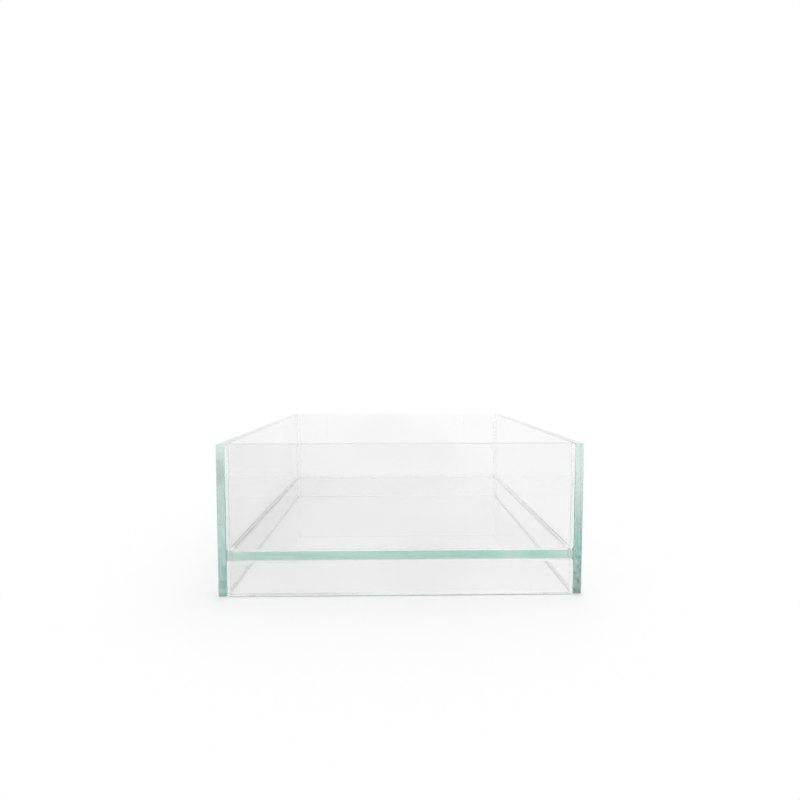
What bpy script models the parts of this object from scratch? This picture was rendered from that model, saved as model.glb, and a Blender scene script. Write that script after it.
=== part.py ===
"""A low rimless aquarium: four glass walls, a raised glass floor and the silicone that holds them.

Metres, +Z up. The origin is the middle of the footprint, at the height of the table. +X is to the right
and +Y runs away from the front end.
"""

import math

import bmesh
import bpy

# Outside size of the tank
WIDTH = 0.200
LENGTH = 0.200
HEIGHT = 0.084

# Sheet glass
SIDE_THICKNESS = 0.005
END_THICKNESS = 0.005
FLOOR_THICKNESS = 0.005
ARRIS = 0.0005

# Clear height of the space under the raised floor
FLOOR_CLEARANCE = 0.019

# Silicone: the bonds between panes and the beads laid into the angles
BOND_THICKNESS = 0.0004
FLOOR_BEAD_LEG = 0.0012
CORNER_BEAD_LEG = 0.0010
UNDER_BEAD_LEG = 0.0012
BEAD_HOLLOW = 0.00015
BEAD_FACETS = 6

# Clearance between silicone and glass
SEAT_GAP = 0.0002

# Finishes
GLASS_COLOUR = (0.80, 0.92, 0.87, 1.0)
GLASS_ROUGHNESS = 0.02
GLASS_REFRACTION = 1.52
SILICONE_COLOUR = (0.86, 0.88, 0.87, 1.0)
SILICONE_ROUGHNESS = 0.35
SILICONE_REFRACTION = 1.41
CLEAR_TRANSMISSION = 1.0
MILKY_TRANSMISSION = 0.7

# Places worked out from the sizes above
INNER_X = WIDTH / 2 - SIDE_THICKNESS
INNER_Y = LENGTH / 2 - END_THICKNESS
BOND_SPACE = BOND_THICKNESS + 2 * SEAT_GAP
FLOOR_TOP = FLOOR_CLEARANCE + FLOOR_THICKNESS
MITRE_GAP = SEAT_GAP / math.sqrt(2)
BEVEL_GAP = SEAT_GAP * math.sqrt(2)

# Direction from a bead's open side into the angle that it fills
TOWARD_ANGLE = math.radians(225)

# Walls and corners in order round the tank, each a quarter turn about +Z from the one before
WALLS = ("front", "right", "back", "left")
CORNERS = ("front_left", "front_right", "back_right", "back_left")


def clear_scene():
    """Remove every object that is already in the scene."""
    for existing in list(bpy.data.objects):
        bpy.data.objects.remove(existing, do_unlink=True)


def clear_material(name, colour, roughness, refraction, transmission):
    """Return a see-through Principled material."""
    material = bpy.data.materials.new(name)
    material.use_nodes = True
    shader = material.node_tree.nodes["Principled BSDF"]
    shader.inputs["Base Color"].default_value = colour
    shader.inputs["Roughness"].default_value = roughness
    shader.inputs["Metallic"].default_value = 0.0
    shader.inputs["IOR"].default_value = refraction
    shader.inputs["Transmission Weight"].default_value = transmission
    return material


def glass_finish(name):
    """Return the clear, faintly green finish of one pane."""
    return clear_material(name, GLASS_COLOUR, GLASS_ROUGHNESS, GLASS_REFRACTION, CLEAR_TRANSMISSION)


def silicone_finish(name):
    """Return the slightly milky finish of one run of silicone."""
    return clear_material(name, SILICONE_COLOUR, SILICONE_ROUGHNESS, SILICONE_REFRACTION, MILKY_TRANSMISSION)


def place_object(name, shape, material, tank, location, quarter_turns=0):
    """Turn a bmesh into a named object under the tank's empty."""
    mesh = bpy.data.meshes.new(name)
    bmesh.ops.recalc_face_normals(shape, faces=shape.faces)
    shape.to_mesh(mesh)
    shape.free()
    mesh.materials.append(material)
    piece = bpy.data.objects.new(name, mesh)
    piece.location = location
    piece.rotation_euler = (0.0, 0.0, quarter_turns * math.pi / 2)
    piece.parent = tank
    bpy.context.scene.collection.objects.link(piece)
    return piece


def add_pane(name, tank, size, centre):
    """Add one sheet of glass with its edges ground to a flat arris."""
    shape = bmesh.new()
    bmesh.ops.create_cube(shape, size=1.0)
    bmesh.ops.scale(shape, vec=size, verts=shape.verts)
    pane = place_object(name, shape, glass_finish(name + "_glass"), tank, centre)
    arris = pane.modifiers.new("ground_arris", "BEVEL")
    arris.width = ARRIS
    arris.segments = 1
    arris.limit_method = "NONE"
    return pane


def bond_profile(pane_thickness):
    """Return the bond's outline as (distance from the wall, distance across the pane from its middle).

    The bond fills the space between a pane's edge and the wall it meets, and flares into both arrises.
    """
    wall_side = SEAT_GAP
    edge_side = SEAT_GAP + BOND_THICKNESS
    flare = BOND_SPACE + ARRIS - BEVEL_GAP
    face = pane_thickness / 2
    neck = face - (ARRIS + SEAT_GAP - BEVEL_GAP)
    return [
        (wall_side, -face),
        (flare, -face),
        (edge_side, -neck),
        (edge_side, neck),
        (flare, face),
        (wall_side, face),
    ]


def bead_profile(leg):
    """Return a tooled bead's outline in the angle of two faces, with its open side an inward arc."""
    chord = leg * math.sqrt(2)
    radius = (chord * chord / 4 + BEAD_HOLLOW * BEAD_HOLLOW) / (2 * BEAD_HOLLOW)
    half_angle = math.asin(chord / 2 / radius)
    centre = SEAT_GAP + leg / 2 + (radius - BEAD_HOLLOW) / math.sqrt(2)
    outline = [(SEAT_GAP, SEAT_GAP)]
    for step in range(BEAD_FACETS + 1):
        angle = TOWARD_ANGLE + half_angle * (1 - 2 * step / BEAD_FACETS)
        outline.append((centre + radius * math.cos(angle), centre + radius * math.sin(angle)))
    return outline


def loft(near_ring, far_ring):
    """Return the closed bmesh between two rings that have the same number of points."""
    shape = bmesh.new()
    near = [shape.verts.new(point) for point in near_ring]
    far = [shape.verts.new(point) for point in far_ring]
    shape.faces.new(near)
    shape.faces.new(list(reversed(far)))
    count = len(near)
    for index in range(count):
        following = (index + 1) % count
        shape.faces.new((near[index], near[following], far[following], far[index]))
    return shape


def mitred_run(outline, half_run):
    """Return a strip along X whose ends are cut at 45 degrees to meet the next wall's strip.

    The outline holds (distance from the wall, height), and half_run reaches to the next wall.
    """
    near_ring = [(-(half_run - across - MITRE_GAP), across, height) for across, height in outline]
    far_ring = [(half_run - across - MITRE_GAP, across, height) for across, height in outline]
    return loft(near_ring, far_ring)


def upright_run(outline, bottom, top):
    """Return a strip that stands along Z between two heights."""
    near_ring = [(across, along, bottom) for across, along in outline]
    far_ring = [(across, along, top) for across, along in outline]
    return loft(near_ring, far_ring)


def wall_foot(wall):
    """Return the middle of a wall's inner face at the table, and half the run to the next walls."""
    places = {
        "front": ((0.0, -INNER_Y, 0.0), INNER_X),
        "right": ((INNER_X, 0.0, 0.0), INNER_Y),
        "back": ((0.0, INNER_Y, 0.0), INNER_X),
        "left": ((-INNER_X, 0.0, 0.0), INNER_Y),
    }
    return places[wall]


def add_panes(tank):
    """Add the four walls and the raised floor."""
    side_centre = (WIDTH - SIDE_THICKNESS) / 2
    end_centre = (LENGTH - END_THICKNESS) / 2
    inner_width = 2 * (INNER_X - BOND_SPACE)
    inner_length = 2 * (INNER_Y - BOND_SPACE)
    side_size = (SIDE_THICKNESS, LENGTH, HEIGHT)
    end_size = (inner_width, END_THICKNESS, HEIGHT)
    floor_size = (inner_width, inner_length, FLOOR_THICKNESS)
    floor_middle = FLOOR_CLEARANCE + FLOOR_THICKNESS / 2
    add_pane("left_side_pane", tank, side_size, (-side_centre, 0.0, HEIGHT / 2))
    add_pane("right_side_pane", tank, side_size, (side_centre, 0.0, HEIGHT / 2))
    add_pane("front_end_pane", tank, end_size, (0.0, -end_centre, HEIGHT / 2))
    add_pane("back_end_pane", tank, end_size, (0.0, end_centre, HEIGHT / 2))
    add_pane("raised_floor_pane", tank, floor_size, (0.0, 0.0, floor_middle))


def add_corner_bonds(tank):
    """Add the upright bonds between the end panes' edges and the side panes' faces."""
    outline = bond_profile(END_THICKNESS)
    for corner in CORNERS:
        end, side = corner.split("_")
        toward_back = 1 if end == "back" else -1
        toward_right = 1 if side == "right" else -1
        shape = upright_run(outline, ARRIS, HEIGHT - ARRIS)
        name = "corner_bond_" + corner
        location = (toward_right * INNER_X, toward_back * (LENGTH - END_THICKNESS) / 2, 0.0)
        half_turn = 2 if side == "right" else 0
        place_object(name, shape, silicone_finish(name + "_silicone"), tank, location, half_turn)


def add_corner_beads(tank):
    """Add the upright seal beads, which stand on the floor's beads and stop at the rim's arris."""
    outline = bead_profile(CORNER_BEAD_LEG)
    bottom = FLOOR_TOP + FLOOR_BEAD_LEG + 2 * SEAT_GAP
    for turns, corner in enumerate(CORNERS):
        end, side = corner.split("_")
        toward_back = 1 if end == "back" else -1
        toward_right = 1 if side == "right" else -1
        shape = upright_run(outline, bottom, HEIGHT - ARRIS)
        name = "corner_bead_" + corner
        location = (toward_right * INNER_X, toward_back * INNER_Y, 0.0)
        place_object(name, shape, silicone_finish(name + "_silicone"), tank, location, turns)


def add_floor_runs(tank, prefix, outline):
    """Add one mitred silicone strip along each wall, from an outline of (distance from wall, height)."""
    for turns, wall in enumerate(WALLS):
        location, half_run = wall_foot(wall)
        name = prefix + "_" + wall
        shape = mitred_run(outline, half_run)
        place_object(name, shape, silicone_finish(name + "_silicone"), tank, location, turns)


def add_floor_silicone(tank):
    """Add the bonds round the floor's edge and the beads above and below it."""
    floor_middle = FLOOR_CLEARANCE + FLOOR_THICKNESS / 2
    bond = [(across, floor_middle + height) for across, height in bond_profile(FLOOR_THICKNESS)]
    upper = [(across, FLOOR_TOP + height) for across, height in bead_profile(FLOOR_BEAD_LEG)]
    lower = [(across, FLOOR_CLEARANCE - height) for across, height in bead_profile(UNDER_BEAD_LEG)]
    add_floor_runs(tank, "floor_bond", bond)
    add_floor_runs(tank, "floor_bead", upper)
    add_floor_runs(tank, "under_bead", lower)


def main():
    """Build the tank."""
    clear_scene()
    tank = bpy.data.objects.new("tank", None)
    bpy.context.scene.collection.objects.link(tank)
    add_panes(tank)
    add_corner_bonds(tank)
    add_corner_beads(tank)
    add_floor_silicone(tank)


main()
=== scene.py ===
"""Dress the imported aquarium: sheets of float glass, runs of clear silicone and a pale studio.

Metres throughout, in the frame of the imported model: +X right, +Y away from the front end, +Z up.
"""

import itertools
import logging
import math
import random
from dataclasses import dataclass, field
from enum import Enum
from typing import Any, Iterable, Sequence

import bmesh
import bpy
from mathutils import Matrix, Vector, noise


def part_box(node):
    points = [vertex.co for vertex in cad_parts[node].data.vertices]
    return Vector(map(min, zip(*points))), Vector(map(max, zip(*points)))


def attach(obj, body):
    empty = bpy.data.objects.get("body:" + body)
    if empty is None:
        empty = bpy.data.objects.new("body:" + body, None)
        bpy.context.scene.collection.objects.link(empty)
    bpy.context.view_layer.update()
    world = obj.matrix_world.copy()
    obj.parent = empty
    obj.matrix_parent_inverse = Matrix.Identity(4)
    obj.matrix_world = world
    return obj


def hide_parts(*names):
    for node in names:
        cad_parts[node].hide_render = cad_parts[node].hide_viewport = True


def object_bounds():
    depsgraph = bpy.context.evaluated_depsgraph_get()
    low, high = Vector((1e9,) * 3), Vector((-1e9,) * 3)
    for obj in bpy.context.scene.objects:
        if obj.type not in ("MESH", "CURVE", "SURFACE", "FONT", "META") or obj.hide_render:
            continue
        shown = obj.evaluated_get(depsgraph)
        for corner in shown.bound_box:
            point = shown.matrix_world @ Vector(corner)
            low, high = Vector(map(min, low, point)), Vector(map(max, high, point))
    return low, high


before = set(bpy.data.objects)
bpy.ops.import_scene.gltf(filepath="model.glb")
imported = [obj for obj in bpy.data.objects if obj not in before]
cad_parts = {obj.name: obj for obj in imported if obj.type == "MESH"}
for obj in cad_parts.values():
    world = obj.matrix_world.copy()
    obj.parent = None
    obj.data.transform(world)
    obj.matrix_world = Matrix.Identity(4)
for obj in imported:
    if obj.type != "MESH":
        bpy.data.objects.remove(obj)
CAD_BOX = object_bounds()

LOG = logging.getLogger("aquarium")
ROOT_BODY = "root"
SHEET_MAP = "sheet"
# How much of an arris can still be seen where silicone fills it
FILLED_SHARE = 0.25
# The middle of a noise that runs from 0 to 1
MIDDLE = 0.5
AXES = range(3)
UP = 2

Point = tuple[float, float]
Place = tuple[float, float, float]
Colour = tuple[float, float, float]
Sides = tuple[int, int, int]


class Slot(Enum):
    """The record's material slots."""

    GLASS = "glass"
    SILICONE = "silicone"


class Wall(Enum):
    """The four walls in order round the tank, each a quarter turn from the one before."""

    FRONT = 0
    RIGHT = 1
    BACK = 2
    LEFT = 3

    @property
    def word(self) -> str:
        """Return the wall's name as the nodes spell it."""
        return self.name.lower()


class Corner(Enum):
    """The four upright corners, as signs along X and Y."""

    FRONT_LEFT = (-1, -1)
    FRONT_RIGHT = (1, -1)
    BACK_RIGHT = (1, 1)
    BACK_LEFT = (-1, 1)

    @property
    def word(self) -> str:
        """Return the corner's name as the nodes spell it."""
        return self.name.lower()


class Surface(Enum):
    """What was done to each part of a sheet of glass, as the value of its mesh attributes."""

    FACE = (0.0, 0.0, 0.0)
    EDGE = (1.0, 0.0, 0.0)
    ARRIS = (0.0, 1.0, 0.0)
    BONDED_EDGE = (0.0, 0.0, 1.0)

    @staticmethod
    def attributes() -> tuple[str, str, str]:
        """Return the names of the mesh attributes."""
        return "edge", "arris", "bonded"


class Signal:
    """One node socket that can be used in sums, with a Math node for each operator."""

    def __init__(self, graph: "Graph", socket: bpy.types.NodeSocket) -> None:
        """Keep the graph and the socket.

        Args:
            graph: the graph that gets the Math nodes.
            socket: an output socket.
        """
        self.graph = graph
        self.socket = socket

    def _math(self, operation: str, *values: Any) -> "Signal":
        """Return the result of one Math node."""
        made = self.graph.node("ShaderNodeMath", {"operation": operation}, list(values))
        return Signal(self.graph, made.outputs[0])

    def __add__(self, other: Any) -> "Signal":
        """Return self + other."""
        return self._math("ADD", self, other)

    __radd__ = __add__

    def __sub__(self, other: Any) -> "Signal":
        """Return self - other."""
        return self._math("SUBTRACT", self, other)

    def __rsub__(self, other: Any) -> "Signal":
        """Return other - self."""
        return self._math("SUBTRACT", other, self)

    def __mul__(self, other: Any) -> "Signal":
        """Return self * other."""
        return self._math("MULTIPLY", self, other)

    __rmul__ = __mul__

    def __truediv__(self, other: Any) -> "Signal":
        """Return self / other."""
        return self._math("DIVIDE", self, other)

    def size(self) -> "Signal":
        """Return the signal without its sign."""
        return self._math("ABSOLUTE", self)

    def at_least(self, limit: float) -> "Signal":
        """Return the signal, held up to the limit."""
        return self._math("MAXIMUM", self, limit)

    def below(self, limit: float) -> "Signal":
        """Return 1 where the signal is under the limit, else 0."""
        return self._math("LESS_THAN", self, limit)

    def at_most(self, limit: float) -> "Signal":
        """Return the signal, held to the limit."""
        return self._math("MINIMUM", self, limit)


@dataclass(frozen=True)
class Pattern:
    """A fractal noise, the levels between which it counts from 0 to 1, and its scale along each axis."""

    scale: float = 1.0
    detail: float = 2.0
    roughness: float = 0.5
    levels: Point | None = None
    stretch: Place | None = None


class Graph:
    """A node tree that is written as expressions."""

    def __init__(self, tree: bpy.types.NodeTree) -> None:
        """Keep the tree."""
        self.tree = tree

    def node(self, kind: str, settings: dict[str, Any] | None = None, values: Any = None) -> bpy.types.Node:
        """Add a node, set it up and connect it.

        Args:
            kind: the node's type.
            settings: its properties, set before its sockets.
            values: its inputs, as a list in order or a dict by name, each a number, a socket or a Signal.

        Returns:
            The new node.
        """
        made = self.tree.nodes.new(kind)
        for key, setting in (settings or {}).items():
            setattr(made, key, setting)
        pairs = values.items() if isinstance(values, dict) else enumerate(values or [])
        for key, value in pairs:
            self.feed(made.inputs[key], value)
        return made

    def feed(self, socket: bpy.types.NodeSocket, value: Any) -> None:
        """Link a socket, or set its plain value.

        Args:
            socket: an input socket.
            value: a Signal, an output socket or a plain value.
        """
        if isinstance(value, Signal):
            self.tree.links.new(value.socket, socket)
        elif isinstance(value, bpy.types.NodeSocket):
            self.tree.links.new(value, socket)
        else:
            socket.default_value = value

    def signal(self, node: bpy.types.Node, output: Any = 0) -> Signal:
        """Return one of a node's outputs, by number or by name."""
        return Signal(self, node.outputs[output])

    def attribute(self, name: str) -> Signal:
        """Return one of the mesh's attributes."""
        return self.signal(self.node("ShaderNodeAttribute", {"attribute_name": name}), "Fac")

    def axes(self, place: bpy.types.NodeSocket) -> tuple[Signal, ...]:
        """Return the three parts of a vector."""
        made = self.node("ShaderNodeSeparateXYZ", None, [place])
        return tuple(self.signal(made, axis) for axis in "XYZ")

    def between(self, value: Signal, low: float, high: float) -> Signal:
        """Return a smooth 0 to 1 as a value goes from low to high.

        Args:
            value: the signal.
            low: where the result is 0.
            high: where the result is 1.

        Returns:
            The share.
        """
        settings = {"interpolation_type": "SMOOTHSTEP"}
        values = {"Value": value, "From Min": low, "From Max": high}
        return self.signal(self.node("ShaderNodeMapRange", settings, values))

    def spread(self, share: Signal, first: float, last: float) -> Signal:
        """Return first where the share is 0, last where it is 1, and what lies between."""
        return first + (last - first) * share

    def mix_colour(self, factor: Signal, first: Any, second: Any) -> bpy.types.NodeSocket:
        """Return a colour between two colours.

        Args:
            factor: the second colour's share.
            first: a colour or a colour socket.
            second: a colour or a colour socket.

        Returns:
            The colour socket.
        """
        made = self.node("ShaderNodeMix", {"data_type": "RGBA"})
        colours = [socket for socket in made.inputs if socket.type == "RGBA"]
        self.feed(made.inputs[0], factor)
        self.feed(colours[0], first)
        self.feed(colours[1], second)
        return [socket for socket in made.outputs if socket.type == "RGBA"][0]

    def noise(self, place: bpy.types.NodeSocket, pattern: Pattern) -> Signal:
        """Return a noise pattern from 0 to 1.

        Args:
            place: the coordinates.
            pattern: the noise, in features per metre, and its levels.

        Returns:
            The noise, stretched between its levels if it has any.
        """
        if pattern.stretch:
            mapping = {"Vector": place, "Scale": pattern.stretch}
            place = self.node("ShaderNodeMapping", None, mapping).outputs["Vector"]
        values = {"Vector": place, "Scale": pattern.scale, "Detail": pattern.detail}
        made = self.node("ShaderNodeTexNoise", None, {**values, "Roughness": pattern.roughness})
        plain = self.signal(made)
        return self.between(plain, *pattern.levels) if pattern.levels else plain


def rgba(colour: Colour) -> tuple[float, float, float, float]:
    """Return a colour with full alpha."""
    return (*colour, 1.0)


def new_material(name: str) -> tuple[bpy.types.Material, Graph, bpy.types.Node]:
    """Make an empty material.

    Args:
        name: the material's name.

    Returns:
        The material, its graph and its output node.
    """
    material = bpy.data.materials.new(name)
    material.use_nodes = True
    material.node_tree.nodes.clear()
    graph = Graph(material.node_tree)
    return material, graph, graph.node("ShaderNodeOutputMaterial")


@dataclass(frozen=True)
class FloatGlass:
    """Clear soda-lime sheet: green through its depth, with polished edges and finely ground arrises.

    The front ends are painted deeper green towards the foot, a painted shade of the shadowed table that
    they look into. They are darker again low down, have a painted contact shadow at the sole, and are
    smudged on the left and chipped on the right. The faces carry painted shade, darker to the left and low
    down, and the feet carry a painted contact shadow.
    """

    name: str = "float_glass"
    refraction: float = 1.52
    depth_tint: Colour = (0.20, 0.545, 0.43)
    depth_density: float = 2.4

    # Painted shade: the faces darken to the left and low down, broken by noise
    face_colour: Colour = (0.972, 0.967, 0.968)
    filmed_colour: Colour = (0.922, 0.918, 0.918)
    film: Pattern = Pattern(9.0)
    film_lean: float = 2.0
    film_heights: Point = (0.015, 0.030)
    film_foot: float = 0.15
    film_levels: Point = (0.45, 0.75)

    # Painted shade: the front ends go from the pale colour high up to the deep colour at the foot, standing
    # in for the shadowed table that they look into
    rim_edge_colour: Colour = (0.99, 0.995, 0.993)
    deep_edge_colour: Colour = (0.15, 0.44, 0.39)
    middle_levels: Point = (-0.03, 0.03)
    left_levels: Point = (0.073, 0.086)
    left_share: float = 0.50
    left_foot_levels: Point = (0.018, 0.040)
    left_foot_share: float = 0.28
    right_levels: Point = (0.028, 0.070)
    right_share: float = 0.90
    mottle: Pattern = Pattern(420.0, 3.0, 0.6, (0.35, 0.65))
    mottle_shares: Point = (0.25, 1.1)
    smudge: Pattern = Pattern(160.0, 3.0)
    smudge_middle: float = 0.069
    smudge_reach: Point = (0.010, 0.001)

    # Colour of the chips and grain, and of the painted contact shadow at the sole
    chip_colour: Colour = (0.06, 0.12, 0.10)
    chip_scale: float = 330.0
    chip_reach: float = 0.32
    chip_patches: Pattern = Pattern(120.0, 1.0, levels=(0.36, 0.44))
    chip_share: float = 0.8
    grain: Pattern = Pattern(700.0, levels=(0.45, 0.62))
    grain_share: float = 0.8
    chip_levels: Point = (0.008, 0.040)
    chip_shares: Point = (0.6, 1.1)
    # Painted contact shadow at the sole of the front ends, heavier on the right
    sole_levels: Point = (0.0005, 0.004)
    sole_shares: Point = (0.25, 0.9)
    # Darker towards the foot of the front ends, more on the right; the same colour darkens the smudge
    grime_colour: Colour = (0.19, 0.27, 0.24)
    grime_levels: Point = (0.006, 0.022)
    grime_shares: Point = (0.35, 0.75)

    bonded_colour: Colour = (0.78, 0.97, 0.90)
    streak_colour: Colour = (0.52, 0.86, 0.765)
    bond_end_colour: Colour = (0.985, 0.995, 0.99)
    bond_streaks: Pattern = Pattern(levels=(0.40, 0.62), stretch=(14.0, 14.0, 330.0))
    bond_ends: Point = (0.016, 0.005)

    arris_colour: Colour = (0.97, 0.99, 0.98)
    worn_arris_colour: Colour = (0.32, 0.35, 0.34)
    worn_depth: Point = (0.0004, 0.0008)
    # Painted contact shadow along the feet, where the panes meet the table
    dust_colour: Colour = (0.26, 0.26, 0.25)
    dust_levels: Point = (0.0006, 0.0012)
    end_dust: float = 0.6

    rim_reach: float = 0.03
    crest_depth: Point = (0.0012, 0.0006)
    sheen_refraction: float = 2.1

    handling: Pattern = Pattern(26.0, 4.0, 0.6, (0.45, 0.75))
    handling_film: float = 0.012
    wheel: Pattern = Pattern(1.0, 3.0, 0.6, stretch=(90.0, 5200.0, 1.0))
    wheel_relief: float = 0.35
    edge_polish: float = 0.015
    grit: Pattern = Pattern(3800.0)
    grit_grind: float = 0.1
    arris_grind: float = 0.10
    rim_grind: float = 0.30
    relief_strength: float = 0.35
    relief_depth: float = 0.000005

    def film_colour(self, graph: Graph, place: bpy.types.NodeSocket) -> bpy.types.NodeSocket:
        """Return the colour of the faces, with painted shade that is darker to the left and low down,
        broken by noise.

        Args:
            graph: the material's graph.
            place: object coordinates.

        Returns:
            The colour socket.
        """
        across, _, height = graph.axes(place)
        low = 1.0 - graph.between(height, *self.film_heights)
        uneven = graph.noise(place, self.film) - across * self.film_lean + low * self.film_foot
        return graph.mix_colour(
            graph.between(uneven, *self.film_levels), rgba(self.face_colour), rgba(self.filmed_colour)
        )

    def edge_colour(self, graph: Graph, place: bpy.types.NodeSocket) -> bpy.types.NodeSocket:
        """Return the colour of the polished edges: painted shade deepening the front ends towards the foot,
        a painted contact shadow at the sole, and their smudges, grain and chips.

        Args:
            graph: the material's graph.
            place: object coordinates.

        Returns:
            The colour socket.
        """
        across, depth, height = graph.axes(place)
        front = 1.0 - graph.between(depth, *self.middle_levels)
        right = graph.between(across, *self.middle_levels)
        left_low = self.left_share * (1.0 - graph.between(height, *self.left_levels))
        left_low = left_low + self.left_foot_share * (1.0 - graph.between(height, *self.left_foot_levels))
        right_low = self.right_share * (1.0 - graph.between(height, *self.right_levels))
        foot = front * graph.spread(right, *self.chip_shares)
        foot = foot * (1.0 - graph.between(height, *self.chip_levels))
        uneven = (graph.noise(place, self.mottle) - MIDDLE) * graph.spread(foot, *self.mottle_shares)
        # Painted shade: the front ends deepen towards the foot, set by height on each side
        edge_shade = (front * graph.spread(right, left_low, right_low) * (1.0 + uneven)).at_most(1.0)
        tone = graph.mix_colour(edge_shade, rgba(self.rim_edge_colour), rgba(self.deep_edge_colour))
        smudge = graph.between((height - self.smudge_middle).size(), *self.smudge_reach) * (1.0 - right)
        smudge = smudge * graph.noise(place, self.smudge)
        # darker towards the foot of the front ends, more on the right
        low_darkening = graph.spread(right, *self.grime_shares) * (1.0 - graph.between(height, *self.grime_levels))
        tone = graph.mix_colour(front * (low_darkening + smudge).at_most(1.0), tone, rgba(self.grime_colour))
        cells = graph.node("ShaderNodeTexVoronoi", None, {"Vector": place, "Scale": self.chip_scale})
        chips = graph.signal(cells, "Distance").below(self.chip_reach)
        chips = chips * graph.noise(place, self.chip_patches) * foot
        # painted contact shadow at the sole of the front ends
        sole_shadow = front * graph.spread(right, *self.sole_shares)
        sole_shadow = sole_shadow * (1.0 - graph.between(height, *self.sole_levels))
        grain = graph.noise(place, self.grain) * foot * foot
        dark = ((chips + sole_shadow) * self.chip_share + grain * self.grain_share).at_most(1.0)
        return graph.mix_colour(dark, tone, rgba(self.chip_colour))

    def bond_colour(self, graph: Graph, place: bpy.types.NodeSocket) -> bpy.types.NodeSocket:
        """Return the colour of the bonded edges, streaked, and paler at the side walls.

        Args:
            graph: the material's graph.
            place: object coordinates.

        Returns:
            The colour socket.
        """
        across = graph.axes(place)[0].size()
        streaks = graph.noise(place, self.bond_streaks)
        streaked = graph.mix_colour(streaks, rgba(self.bonded_colour), rgba(self.streak_colour))
        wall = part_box("right_side_pane")[0].x
        ends = graph.between(across, *(wall - reach for reach in self.bond_ends))
        return graph.mix_colour(ends, streaked, rgba(self.bond_end_colour))

    def foot_dust(self, graph: Graph, place: bpy.types.NodeSocket) -> Signal:
        """Return the painted contact shadow along the feet of the side panes and, to the left, of the front
        pane.

        Args:
            graph: the material's graph.
            place: object coordinates.

        Returns:
            The share of painted contact shadow.
        """
        across, depth, height = graph.axes(place)
        wall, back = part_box("right_side_pane")[0].x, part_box("back_end_pane")[0].y
        near, far = self.worn_depth
        side = graph.between(across.size(), wall - far, wall - near)
        left = 1.0 - graph.between(across, -wall / 2.0, 0.0)
        foot = 1.0 - graph.between(height, *self.dust_levels)
        clean_end = graph.between(depth, back, CAD_BOX[1].y - far)
        return foot * (1.0 - clean_end) * (side + (1.0 - side) * left * self.end_dust)

    def build(self) -> bpy.types.Material:
        """Build the finish.

        Returns:
            The material.
        """
        material, graph, output = new_material(self.name)
        place = graph.node("ShaderNodeTexCoord").outputs["Object"]
        edge, arris, bonded = (graph.attribute(name) for name in Surface.attributes())
        _, depth, height = graph.axes(place)
        rim = graph.between(height, CAD_BOX[1].z - self.rim_reach, CAD_BOX[1].z)
        crest = graph.between(height, *(CAD_BOX[1].z - inside for inside in self.crest_depth))
        worn = 1.0 - graph.between(depth, *(CAD_BOX[0].y + inside for inside in self.worn_depth))
        ground = graph.mix_colour(worn * (1.0 - rim), rgba(self.arris_colour), rgba(self.worn_arris_colour))
        colour = graph.mix_colour(edge, self.film_colour(graph, place), self.edge_colour(graph, place))
        colour = graph.mix_colour(bonded, colour, self.bond_colour(graph, place))
        colour = graph.mix_colour(arris, colour, ground)
        # painted contact shadow along the feet of the edges and arrises
        dark_share = (edge + arris).at_most(1.0) * self.foot_dust(graph, place)
        along_edge = graph.node("ShaderNodeUVMap", {"uv_map": SHEET_MAP}).outputs["UV"]
        wheel = graph.noise(along_edge, self.wheel)
        grit = graph.noise(place, self.grit)
        polish = graph.noise(place, self.handling) * self.handling_film + edge * wheel * self.edge_polish
        grind = self.arris_grind + self.grit_grind * grit + self.rim_grind * crest
        bump = graph.node("ShaderNodeBump", None, {
            "Strength": self.relief_strength,
            "Distance": self.relief_depth,
            "Height": edge * wheel * self.wheel_relief + arris * grit,
        })
        shader = graph.node("ShaderNodeBsdfPrincipled", None, {
            "Base Color": graph.mix_colour(dark_share, colour, rgba(self.dust_colour)),
            "Roughness": polish + arris * grind,
            "IOR": self.refraction,
            "Transmission Weight": 1.0,
            "Coat Weight": edge * rim + arris * (rim + worn).at_most(1.0),
            "Coat IOR": self.sheen_refraction,
            "Normal": bump.outputs["Normal"],
        })
        tint = {"Color": rgba(self.depth_tint), "Density": self.depth_density}
        absorption = graph.node("ShaderNodeVolumeAbsorption", None, tint)
        graph.feed(output.inputs["Surface"], shader.outputs[0])
        graph.feed(output.inputs["Volume"], absorption.outputs[0])
        return material


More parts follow.
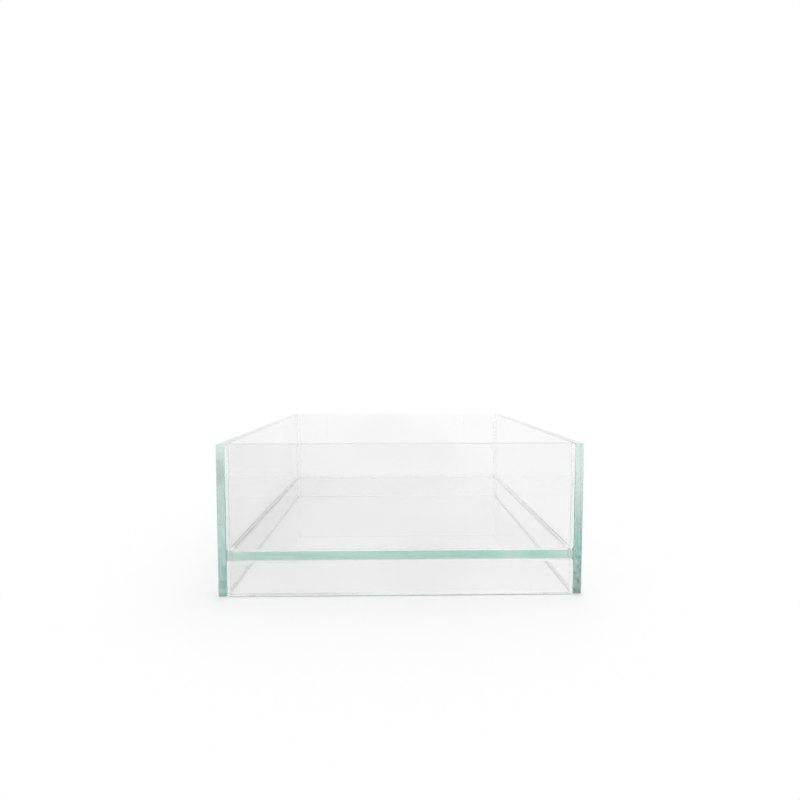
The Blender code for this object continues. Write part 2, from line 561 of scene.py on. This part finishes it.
@dataclass(frozen=True)
class ClearSilicone:
    """Cured clear sealant: a little milky, with a tooled skin that is not quite even."""

    name: str = "clear_silicone"
    refraction: float = 1.41
    clear_colour: Colour = (0.985, 0.99, 0.988)
    milky_colour: Colour = (0.96, 0.97, 0.967)
    # Painted shade in the floor's seams along the side walls
    seam_colour: Colour = (0.12, 0.13, 0.13)
    seam_levels: Point = (0.0002, 0.0005)
    seam_reach: Point = (0.0016, 0.0014)
    seam_clear: Point = (0.0005, 0.0002)
    seam_ends: Point = (0.009, 0.004)
    left_shares: Point = (1.0, 0.35)
    right_shares: Point = (0.75, 0.1)
    cloud: Pattern = Pattern(160.0, 3.0, levels=(0.35, 0.7))
    skin: Pattern = Pattern(300.0, 3.0, 0.6)
    skin_gloss: float = 0.06
    skin_unevenness: float = 0.06
    skin_strength: float = 0.4
    skin_relief: float = 0.00001

    def seam_dust(self, graph: Graph, place: bpy.types.NodeSocket, inner: Vector) -> Signal:
        """Return how much painted shade darkens the floor's seams along the side walls, less towards the
        back.

        Args:
            graph: the material's graph.
            place: object coordinates.
            inner: the inner faces of the right and back walls, and the height of the floor.

        Returns:
            The share of painted shade.
        """
        near, far = self.seam_levels
        across, depth, height = graph.axes(place)
        toe = graph.between(across.size(), *(inner.x - reach for reach in self.seam_reach))
        heel = graph.between(across.size(), *(inner.x - reach for reach in self.seam_clear))
        above = graph.between(height, inner.z - far, inner.z - near)
        low = 1.0 - graph.between(height, inner.z + near, inner.z + far)
        short = 1.0 - graph.between(depth.size(), *(inner.y - end for end in self.seam_ends))
        right = graph.between(across, -inner.x, inner.x)
        back = graph.between(depth, -inner.y, inner.y)
        left_shade = graph.spread(back, *self.left_shares)
        right_shade = graph.spread(back, *self.right_shares)
        return toe * (1.0 - heel) * above * low * short * graph.spread(right, left_shade, right_shade)

    def build(self, inner: Vector) -> bpy.types.Material:
        """Build the finish.

        Args:
            inner: the inner faces of the right and back walls, and the height of the floor.

        Returns:
            The material.
        """
        material, graph, output = new_material(self.name)
        place = graph.node("ShaderNodeTexCoord").outputs["Object"]
        cloud = graph.noise(place, self.cloud)
        clear = graph.mix_colour(cloud, rgba(self.clear_colour), rgba(self.milky_colour))
        # painted shade in the floor's seams
        dark_share = self.seam_dust(graph, place, inner)
        skin = graph.noise(place, self.skin)
        bump = graph.node("ShaderNodeBump", None, {
            "Strength": self.skin_strength,
            "Distance": self.skin_relief,
            "Height": skin,
        })
        shader = graph.node("ShaderNodeBsdfPrincipled", None, {
            "Base Color": graph.mix_colour(dark_share, clear, rgba(self.seam_colour)),
            "Roughness": self.skin_gloss + self.skin_unevenness * skin,
            "IOR": self.refraction,
            "Transmission Weight": 1.0,
            "Normal": bump.outputs["Normal"],
        })
        graph.feed(output.inputs["Surface"], shader.outputs[0])
        return material


def view_ray(graph: Graph) -> Signal:
    """Tell what the eye sees from light that falls on a matt surface.

    Args:
        graph: the graph of a material or of the world.

    Returns:
        1 for a ray that is seen straight, mirrored or through glass, and else 0.
    """
    path = graph.node("ShaderNodeLightPath")
    seen = sum(graph.signal(path, f"Is {kind} Ray") for kind in ("Camera", "Glossy", "Transmission"))
    return seen.at_most(1.0) * (1.0 - graph.signal(path, "Diffuse Depth")).at_least(0.0)


@dataclass(frozen=True)
class PalePaper:
    """The matt paper under the tank, which fades to white away from it."""

    name: str = "pale_paper"
    colour: Colour = (0.96, 0.96, 0.96)
    tooth_colour: Colour = (0.8, 0.8, 0.8)
    tooth: Pattern = Pattern(900.0, 3.0)
    tooth_share: float = 0.03
    fade: Point = (0.10, 0.24)

    def build(self) -> bpy.types.Material:
        """Build the finish.

        Returns:
            The material.
        """
        material, graph, output = new_material(self.name)
        place = graph.node("ShaderNodeTexCoord").outputs["Object"]
        reach = graph.node("ShaderNodeVectorMath", {"operation": "LENGTH"}, [place])
        away = graph.between(graph.signal(reach, "Value"), *self.fade)
        tooth = self.tooth_share * graph.noise(place, self.tooth)
        colour = graph.mix_colour(tooth, rgba(self.colour), rgba(self.tooth_colour))
        paper = graph.node("ShaderNodeBsdfDiffuse", None, {"Color": colour})
        white = graph.node("ShaderNodeEmission", None, {"Strength": 1.0})
        sides = [away * view_ray(graph), paper.outputs[0], white.outputs[0]]
        blend = graph.node("ShaderNodeMixShader", None, sides)
        graph.feed(output.inputs["Surface"], blend.outputs[0])
        return material


def add_piece(name: str, mesh: bpy.types.Mesh, node: str, slot: Slot) -> None:
    """Put a finished mesh in the scene in place of a CAD node.

    Args:
        name: the piece's name.
        mesh: its mesh, in place and dressed.
        node: the CAD node that it stands for.
        slot: not used.
    """
    piece = bpy.data.objects.new(name, mesh)
    bpy.context.scene.collection.objects.link(piece)
    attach(piece, ROOT_BODY)
    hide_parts(node)
    LOG.info("%s: %d faces, for %s", name, len(mesh.polygons), node)


def ground_width(filled: bool = False) -> float:
    """Return the width of the ground arrises, which the upright bonds stop short of.

    Args:
        filled: whether silicone fills the arris, which leaves only a share of it to see.

    Returns:
        The width.
    """
    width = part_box("corner_bond_front_left")[0].z - CAD_BOX[0].z
    return width * FILLED_SHARE if filled else width


def other_axes(*axes: int) -> list[int]:
    """Return the axes that are not among those given."""
    return [axis for axis in AXES if axis not in axes]


@dataclass
class GlassSheet:
    """One pane: two faces, four edges, and arrises ground by hand along every edge, finer at the rim.

    A corner is given by the side that it is on along each axis, 0 for the low side and 1 for the high one.
    """

    node: str
    seed: int
    filled_axes: tuple[int, ...] = ()
    edge_kind: Surface = Surface.EDGE
    rim_share: float = 0.3
    waver: float = 0.14
    waver_length: float = 0.018
    waver_strides: Point = (7.3, 3.1)
    sample: float = 0.001
    nicks_per_metre: Point = (2.4, 9.6)
    nick_depth: Point = (0.00009, 0.0003)
    nick_half_length: Point = (0.00048, 0.0012)

    def __post_init__(self) -> None:
        """Read the pane's corners from the frame."""
        self.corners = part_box(self.node)
        self.size = self.corners[1] - self.corners[0]
        self.random = random.Random(self.seed)

    def arris(self, run: int, corner: Sides) -> float:
        """Return the plain width of the arris along one edge.

        Args:
            run: the axis that the edge runs along.
            corner: a corner that the edge meets.

        Returns:
            The width.
        """
        filled = run in self.filled_axes
        at_rim = run != UP and corner[UP] == 1 and not filled
        return ground_width(filled) * (self.rim_share if at_rim else 1.0)

    def nicks(self, run: int) -> list[tuple[float, float, float]]:
        """Return the small chips along one edge, each as (middle, depth, half length).

        Args:
            run: the axis that the edge runs along.

        Returns:
            The chips, none where silicone fills the arris.
        """
        if run in self.filled_axes:
            return []
        draw = self.random.uniform
        length = self.size[run]
        count = round(length * draw(*self.nicks_per_metre))
        return [
            (draw(0.0, length), draw(*self.nick_depth), draw(*self.nick_half_length)) for _ in range(count)
        ]

    def width_along(self, edge_number: int, run: int, start: Sides) -> list[float]:
        """Return the arris width at each sample along one edge, plain at both ends.

        Args:
            edge_number: which of the pane's edges.
            run: the axis that the edge runs along.
            start: the corner that the edge starts at.

        Returns:
            One width for each sample between the ends.
        """
        plain = self.arris(run, start)
        nicks = self.nicks(run)
        count = max(2, round(self.size[run] / self.sample))
        edge_stride, pane_stride = self.waver_strides
        widths = []
        for index in range(1, count):
            along = self.size[run] * index / count
            place = Vector((along / self.waver_length, edge_number * edge_stride, self.seed * pane_stride))
            width = plain * (1.0 + self.waver * noise.noise(place))
            for middle, depth, half_length in nicks:
                share = abs(along - middle) / half_length
                width += depth * max(0.0, 1.0 - share * share)
            widths.append(width)
        return widths

    def inset(self, axis: int, side: int, width: float) -> float:
        """Return a coordinate that lies a width inside one side of the pane."""
        return self.corners[side][axis] + (width if side == 0 else -width)

    def far_end(self, run: int, start: Sides) -> Sides:
        """Return the corner at the other end of an edge."""
        return tuple(1 if axis == run else start[axis] for axis in AXES)

    def tip(self, axis: int, corner: Sides) -> Vector:
        """Return where the flat that faces an axis comes to its point at a corner.

        Args:
            axis: the axis that the flat faces.
            corner: the corner.

        Returns:
            The place.
        """
        spot = Vector()
        spot[axis] = self.corners[corner[axis]][axis]
        for inward, run in itertools.permutations(other_axes(axis)):
            spot[inward] = self.inset(inward, corner[inward], self.arris(run, corner))
        return spot

    def rail(self, on: int, run: int, start: Sides, widths: Sequence[float]) -> list[Vector]:
        """Return the places between the tips along one side of an arris.

        Args:
            on: the axis that the flat beside the arris faces.
            run: the axis that the edge runs along.
            start: the corner that the edge starts at.
            widths: the arris width at each place.

        Returns:
            The places.
        """
        inward = other_axes(on, run)[0]
        first, last = self.tip(on, start), self.tip(on, self.far_end(run, start))
        places = []
        for index, width in enumerate(widths, start=1):
            spot = first.lerp(last, index / (len(widths) + 1))
            spot[inward] = self.inset(inward, start[inward], width)
            places.append(spot)
        return places

    def add_faces(self, shape: bmesh.types.BMesh) -> list[tuple[bmesh.types.BMFace, Surface]]:
        """Add the arrises, the three-sided corners and the six flats.

        Args:
            shape: the empty mesh.

        Returns:
            Every face, and what was done to it.
        """
        corners = list(itertools.product((0, 1), repeat=len(AXES)))
        tips = {
            (axis, corner): shape.verts.new(self.tip(axis, corner)) for axis in AXES for corner in corners
        }
        starts = [(run, corner) for run in AXES for corner in corners if corner[run] == 0]
        rails: dict[tuple[int, int, int, int], list[bmesh.types.BMVert]] = {}
        faces = []
        for number, (run, start) in enumerate(starts):
            widths = self.width_along(number, run, start)
            pair = []
            for on, inward in itertools.permutations(other_axes(run)):
                between = [shape.verts.new(place) for place in self.rail(on, run, start, widths)]
                pair.append([tips[on, start], *between, tips[on, self.far_end(run, start)]])
                rails[on, start[on], run, start[inward]] = pair[-1]
            near, far = pair
            for index in range(len(widths) + 1):
                quad = (near[index], near[index + 1], far[index + 1], far[index])
                faces.append((shape.faces.new(quad), Surface.ARRIS))
        for corner in corners:
            faces.append((shape.faces.new([tips[axis, corner] for axis in AXES]), Surface.ARRIS))
        thin = min(AXES, key=lambda axis: self.size[axis])
        for axis, side in itertools.product(AXES, (0, 1)):
            across, up = other_axes(axis)
            loop = rails[axis, side, across, 0][:-1] + rails[axis, side, up, 1][:-1]
            loop += rails[axis, side, across, 1][:0:-1] + rails[axis, side, up, 0][:0:-1]
            faces.append((shape.faces.new(loop), Surface.FACE if axis == thin else self.edge_kind))
        return faces

    def map_sheet(self, shape: bmesh.types.BMesh) -> None:
        """Lay the map in metres, with its U along the longer way of each flat.

        Args:
            shape: the pane's mesh, with its normals.
        """
        layer = shape.loops.layers.uv.new(SHEET_MAP)
        for face in shape.faces:
            flat = other_axes(max(AXES, key=lambda axis: abs(face.normal[axis])))
            places = {axis: [vert.co[axis] for vert in face.verts] for axis in flat}
            flat.sort(key=lambda axis: min(places[axis]) - max(places[axis]))
            for loop in face.loops:
                loop[layer].uv = [loop.vert.co[axis] for axis in flat]

    def build(self, name: str, glass: bpy.types.Material) -> bpy.types.Mesh:
        """Make the pane, with its finish, its attributes and its map.

        Args:
            name: the mesh's name.
            glass: the finish.

        Returns:
            The mesh.
        """
        shape = bmesh.new()
        layers = [shape.faces.layers.float.new(attribute) for attribute in Surface.attributes()]
        for face, surface in self.add_faces(shape):
            for layer, value in zip(layers, surface.value):
                face[layer] = value
        bmesh.ops.recalc_face_normals(shape, faces=shape.faces)
        self.map_sheet(shape)
        mesh = bpy.data.meshes.new(name)
        shape.to_mesh(mesh)
        shape.free()
        mesh.materials.append(glass)
        return mesh


@dataclass
class GlassBox:
    """The five panes of the tank."""

    finish: FloatGlass = field(default_factory=FloatGlass)
    panes: tuple[str, ...] = ("left_side", "right_side", "front_end", "back_end", "raised_floor")
    first_seed: int = 11

    def filled_axes(self, pane: str) -> tuple[int, ...]:
        """Return the axes of a pane's edges that are bonded: none, the uprights, or all."""
        return {"side": (), "end": (UP,), "floor": tuple(AXES)}[pane.split("_")[1]]

    def build(self) -> None:
        """Make and dress every pane."""
        glass = self.finish.build()
        for seed, pane in enumerate(self.panes, start=self.first_seed):
            edge_kind = Surface.BONDED_EDGE if pane == "raised_floor" else Surface.EDGE
            sheet = GlassSheet(pane + "_pane", seed, self.filled_axes(pane), edge_kind)
            add_piece(pane + "_glass", sheet.build(pane + "_glass", glass), pane + "_pane", Slot.GLASS)


class SiliconeSweep:
    """The tree that runs a bead's outline along a line, lets it swell a little, and mitres its ends."""

    INPUTS = (
        ("Half Run", "NodeSocketFloat"),
        ("Step", "NodeSocketFloat"),
        ("Mitre", "NodeSocketFloat"),
        ("Swell", "NodeSocketFloat"),
        ("Swell Pitch", "NodeSocketFloat"),
        ("Seed", "NodeSocketFloat"),
        ("Outline", "NodeSocketObject"),
        ("Finish", "NodeSocketMaterial"),
    )
    CREASE = math.radians(35.0)

    def __init__(self) -> None:
        """Build the tree once, for every run."""
        self.tree = bpy.data.node_groups.new("silicone_run", "GeometryNodeTree")
        self.sockets: dict[str, str] = {}
        for name, kind in self.INPUTS:
            made = self.tree.interface.new_socket(name=name, in_out="INPUT", socket_type=kind)
            self.sockets[name] = made.identifier
        self.tree.interface.new_socket(name="Geometry", in_out="OUTPUT", socket_type="NodeSocketGeometry")
        self._wire(Graph(self.tree))

    def _wire(self, graph: Graph) -> None:
        """Add the nodes: line, sweep, swell, mitre, finish.

        Args:
            graph: the tree's graph.
        """
        sizes = graph.node("NodeGroupInput")
        half_run = graph.signal(sizes, "Half Run")
        ends = [graph.node("ShaderNodeCombineXYZ", None, {"X": half_run * sign}) for sign in (-1.0, 1.0)]
        line = graph.node("GeometryNodeCurvePrimitiveLine", None, {
            "Start": ends[0].outputs[0],
            "End": ends[1].outputs[0],
        })
        points = graph.node("GeometryNodeResampleCurve", {"mode": "LENGTH"}, {
            "Curve": line.outputs[0],
            "Length": sizes.outputs["Step"],
        })
        outline = graph.node("GeometryNodeObjectInfo", None, {"Object": sizes.outputs["Outline"]})
        sweep = graph.node("GeometryNodeCurveToMesh", None, {
            "Curve": points.outputs[0],
            "Profile Curve": outline.outputs["Geometry"],
            "Fill Caps": True,
        })
        along, across, up = graph.axes(graph.node("GeometryNodeInputPosition").outputs[0])
        spot = graph.node("ShaderNodeCombineXYZ", None, {"X": along / graph.signal(sizes, "Swell Pitch")})
        ripple = graph.node("ShaderNodeTexNoise", {"noise_dimensions": "4D"}, {
            "Vector": spot.outputs[0],
            "W": sizes.outputs["Seed"],
            "Scale": 1.0,
            "Detail": 0.0,
        })
        swell = 1.0 + graph.signal(sizes, "Swell") * (2.0 * graph.signal(ripple) - 1.0)
        shorter = 1.0 - graph.signal(sizes, "Mitre") * (across * swell) / half_run
        moved = graph.node("ShaderNodeCombineXYZ", None, [along * shorter, across * swell, up * swell])
        shaped = graph.node("GeometryNodeSetPosition", None, {
            "Geometry": sweep.outputs[0],
            "Position": moved.outputs[0],
        })
        whole = graph.node("GeometryNodeRealizeInstances", None, [shaped.outputs[0]])
        dressed = graph.node("GeometryNodeSetMaterial", None, {
            "Geometry": whole.outputs[0],
            "Material": sizes.outputs["Finish"],
        })
        graph.node("NodeGroupOutput", None, [dressed.outputs[0]])

    def run(self, name: str, outline: Sequence[Point], **sizes: Any) -> bpy.types.Mesh:
        """Make one run of silicone along X as a plain mesh.

        Args:
            name: the mesh's name.
            outline: the section, as (distance from the wall, height), anticlockwise.
            sizes: the tree's other inputs, by name with underscores for spaces.

        Returns:
            The mesh.
        """
        curve = bpy.data.curves.new(name + "_outline", "CURVE")
        curve.dimensions = "3D"
        spline = curve.splines.new("POLY")
        spline.points.add(len(outline) - 1)
        spline.use_cyclic_u = True
        for point, (across, up) in zip(spline.points, outline):
            point.co = (-across, -up, 0.0, 1.0)
        section = bpy.data.objects.new(name + "_outline", curve)
        host = bpy.data.objects.new(name + "_host", bpy.data.meshes.new(name + "_host"))
        for helper in (section, host):
            bpy.context.scene.collection.objects.link(helper)
        modifier = host.modifiers.new("run", "NODES")
        modifier.node_group = self.tree
        modifier[self.sockets["Outline"]] = section
        for key, value in sizes.items():
            modifier[self.sockets[key.replace("_", " ")]] = value
        graph = bpy.context.evaluated_depsgraph_get()
        mesh = bpy.data.meshes.new_from_object(host.evaluated_get(graph))
        mesh.name = name
        for helper in (section, host):
            bpy.data.objects.remove(helper, do_unlink=True)
        mesh.shade_smooth()
        mesh.set_sharp_from_angle(angle=self.CREASE)
        return mesh


@dataclass
class SiliconeWork:
    """Every bond and bead, laid against the panes with no more than a hair between."""

    finish: ClearSilicone = field(default_factory=ClearSilicone)
    hair: float = 0.00003
    step: float = 0.0015
    bead_swell: float = 0.06
    bead_pitch: float = 0.018
    bead_hollow: float = 0.0002
    bead_facets: int = 10
    first_seed: int = 2

    def __post_init__(self) -> None:
        """Read the places that the silicone fills from the frame, and make the finish and the tree."""
        self.inner_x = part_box("right_side_pane")[0].x
        self.inner_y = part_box("back_end_pane")[0].y
        self.end_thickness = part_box("back_end_pane")[1].y - self.inner_y
        self.floor_low, self.floor_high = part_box("raised_floor_pane")
        self.floor_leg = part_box("floor_bead_front")[1].y + self.inner_y
        self.under_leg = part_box("under_bead_front")[1].y + self.inner_y
        self.corner_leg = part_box("corner_bead_front_left")[1].x + self.inner_x
        self.space = self.inner_x - self.floor_high.x
        self.silicone = self.finish.build(Vector((self.inner_x, self.inner_y, self.floor_high.z)))
        self.sweep = SiliconeSweep()
        self.seeds = itertools.count(self.first_seed)

    def bond_outline(self, thickness: float) -> list[Point]:
        """Return the section between a pane's edge and a wall, centred on the pane's thickness.

        Args:
            thickness: the pane's thickness.

        Returns:
            The section, as (distance from the wall, height).
        """
        arris = ground_width(filled=True)
        face = thickness / 2 - self.hair
        flare = self.space + arris - 2 * self.hair
        neck = face - arris
        edge_side = self.space - self.hair
        return [
            (self.hair, -face),
            (flare, -face),
            (edge_side, -neck),
            (edge_side, neck),
            (flare, face),
            (self.hair, face),
        ]

    def bead_outline(self, leg: float) -> list[Point]:
        """Return the section of a bead in an angle, with its open side tooled to a hollow arc.

        Args:
            leg: how far the bead reaches along both faces.

        Returns:
            The section, as (distance from the wall, height).
        """
        outline = [(self.hair, self.hair)]
        for index in range(self.bead_facets + 1):
            share = index / self.bead_facets
            bow = 1.0 - (2.0 * share - 1.0) ** 2
            sink = self.bead_hollow * bow / math.sqrt(2.0)
            outline.append((self.hair + leg * (1.0 - share) - sink, self.hair + leg * share - sink))
        return outline

    def wall_frame(self, wall: Wall, height: float, upward: int) -> tuple[Matrix, float]:
        """Return where a run along a wall lies, and half the run's length.

        Args:
            wall: the wall.
            height: the level that the section's height is counted from.
            upward: 1 if the section's height counts up, -1 if it counts down.

        Returns:
            The matrix from (along, across, up) to the tank, and the half run.
        """
        level = wall in (Wall.FRONT, Wall.BACK)
        away, half_run = (self.inner_y, self.inner_x) if level else (self.inner_x, self.inner_y)
        turn = Matrix.Rotation(wall.value * math.pi / 2, 4, "Z")
        flip = Matrix.Diagonal((upward, 1.0, upward, 1.0))
        return turn @ Matrix.Translation((0.0, -away, height)) @ flip, half_run

    def corner_frame(self, corner: Corner, depth: float, middle: float) -> Matrix:
        """Return where an upright run stands, with its length along +Z.

        Args:
            corner: the corner.
            depth: how far from the tank's middle the run stands along Y.
            middle: the height of the middle of the run.

        Returns:
            The matrix from (along, across, up) to the tank.
        """
        right, back = corner.value
        columns = ((0.0, 0.0, 1.0), (-right, 0.0, 0.0), (0.0, -back, 0.0))
        turn = Matrix(columns).transposed().to_4x4()
        return Matrix.Translation((right * self.inner_x, back * depth, middle)) @ turn

    def lay(self, node: str, outline: Sequence[Point], place: Matrix, **sizes: float) -> None:
        """Sweep one run, put it in its place and add it to the scene.

        Args:
            node: the CAD node that the run stands for.
            outline: its section.
            place: the matrix from (along, across, up) to the tank.
            sizes: the tree's inputs that differ from run to run.
        """
        common = {"Step": self.step, "Swell_Pitch": self.bead_pitch, "Finish": self.silicone}
        mesh = self.sweep.run(node, outline, Seed=float(next(self.seeds)), **common, **sizes)
        mesh.transform(place)
        if place.determinant() < 0:
            mesh.flip_normals()
        name = node.replace("_bond", "_bond_silicone").replace("_bead", "_bead_silicone")
        add_piece(name, mesh, node, Slot.SILICONE)

    def lay_floor_runs(self) -> None:
        """Lay the floor's bond and its two beads along each wall."""
        low, high = self.floor_low.z, self.floor_high.z
        runs = (
            ("floor_bond", self.bond_outline(high - low), (low + high) / 2, 1, 0.0),
            ("floor_bead", self.bead_outline(self.floor_leg), high, 1, self.bead_swell),
            ("under_bead", self.bead_outline(self.under_leg), low, -1, self.bead_swell),
        )
        for prefix, outline, height, upward, swell in runs:
            for wall in Wall:
                node = f"{prefix}_{wall.word}"
                place, half_run = self.wall_frame(wall, height, upward)
                self.lay(node, outline, place, Half_Run=half_run, Mitre=1.0, Swell=swell)

    def lay_corner_runs(self) -> None:
        """Lay the upright bond and the upright bead in each corner, both short of the rim's arris."""
        bond_depth = self.inner_y + self.end_thickness / 2
        foot, top = CAD_BOX[0].z + ground_width(), CAD_BOX[1].z - ground_width()
        bead_foot = self.floor_high.z + self.floor_leg
        runs = (
            ("corner_bond", self.bond_outline(self.end_thickness), bond_depth, foot, 0.0),
            ("corner_bead", self.bead_outline(self.corner_leg), self.inner_y, bead_foot, self.bead_swell),
        )
        for prefix, outline, depth, bottom, swell in runs:
            half_run = (top - bottom) / 2
            for corner in Corner:
                node = f"{prefix}_{corner.word}"
                place = self.corner_frame(corner, depth, bottom + half_run)
                self.lay(node, outline, place, Half_Run=half_run, Mitre=0.0, Swell=swell)

    def build(self) -> None:
        """Lay every run."""
        self.lay_floor_runs()
        self.lay_corner_runs()


@dataclass
class Studio:
    """The camera at the photograph's angle, the pale paper, the white surround and one broad soft lamp."""

    eye: Place = (-0.0049, -0.3461, 0.1208)
    pitch_down: float = 3.0
    yaw_right: float = 1.0
    focal_pixels: float = 458.0
    frame_pixels: float = 800.0
    sensor: float = 36.0
    clip: Point = (0.01, 50.0)
    paper_reach: float = 6.0
    paper_sides: int = 96
    paper_drop: float = 0.0001
    paper: PalePaper = field(default_factory=PalePaper)
    surround_light: float = 0.97
    lamp_place: Place = (0.45, 0.35, 1.1)
    lamp_side: float = 1.0
    lamp_power: float = 1.5
    bounces: int = 96

    def add_camera(self) -> None:
        """Add the camera."""
        data = bpy.data.cameras.new("camera")
        data.sensor_width = self.sensor
        data.lens = self.sensor * self.focal_pixels / self.frame_pixels
        data.clip_start, data.clip_end = self.clip
        camera = bpy.data.objects.new("camera", data)
        camera.location = self.eye
        tilt = math.pi / 2 - math.radians(self.pitch_down)
        camera.rotation_euler = (tilt, 0.0, -math.radians(self.yaw_right))
        bpy.context.scene.collection.objects.link(camera)
        bpy.context.scene.camera = camera

    def add_paper(self) -> None:
        """Add the round sheet of paper that the tank stands on."""
        shape = bmesh.new()
        sizes = {"radius": self.paper_reach, "segments": self.paper_sides}
        bmesh.ops.create_circle(shape, cap_ends=True, **sizes)
        bmesh.ops.translate(shape, vec=(0.0, 0.0, -self.paper_drop), verts=shape.verts)
        mesh = bpy.data.meshes.new("paper")
        shape.to_mesh(mesh)
        shape.free()
        mesh.materials.append(self.paper.build())
        paper = bpy.data.objects.new("paper", mesh)
        bpy.context.scene.collection.objects.link(paper)

    def add_surround(self) -> None:
        """Add the white world, which lights matt surfaces a little less than it shows."""
        world = bpy.data.worlds.new("surround")
        world.use_nodes = True
        world.node_tree.nodes.clear()
        graph = Graph(world.node_tree)
        strength = self.surround_light + (1.0 - self.surround_light) * view_ray(graph)
        white = rgba((1.0, 1.0, 1.0))
        sky = graph.node("ShaderNodeBackground", None, {"Color": white, "Strength": strength})
        output = graph.node("ShaderNodeOutputWorld")
        graph.feed(output.inputs["Surface"], sky.outputs[0])
        bpy.context.scene.world = world

    def add_lamp(self) -> None:
        """Add the broad lamp, turned to the tank."""
        data = bpy.data.lights.new("soft_lamp", "AREA")
        data.shape = "SQUARE"
        data.size = self.lamp_side
        data.energy = self.lamp_power
        lamp = bpy.data.objects.new("soft_lamp", data)
        lamp.location = self.lamp_place
        lamp.rotation_euler = Vector(self.lamp_place).to_track_quat("Z", "Y").to_euler()
        bpy.context.scene.collection.objects.link(lamp)

    def set_light_paths(self) -> None:
        """Let light run the whole length of a pane, edge to edge, before it is given up."""
        cycles = bpy.context.scene.cycles
        cycles.max_bounces = self.bounces
        cycles.glossy_bounces = self.bounces
        cycles.transmission_bounces = self.bounces
        cycles.blur_glossy = 0.0

    def build(self) -> None:
        """Set up the whole studio."""
        bpy.context.scene.view_settings.view_transform = "Standard"
        self.set_light_paths()
        self.add_camera()
        self.add_paper()
        self.add_surround()
        self.add_lamp()


def main() -> None:
    """Build the studio, the panes and the silicone, and log each piece's face count."""
    logging.basicConfig(level=logging.INFO, format="%(name)s: %(message)s")
    Studio().build()
    GlassBox().build()
    SiliconeWork().build()


if __name__ == "__main__":
    main()
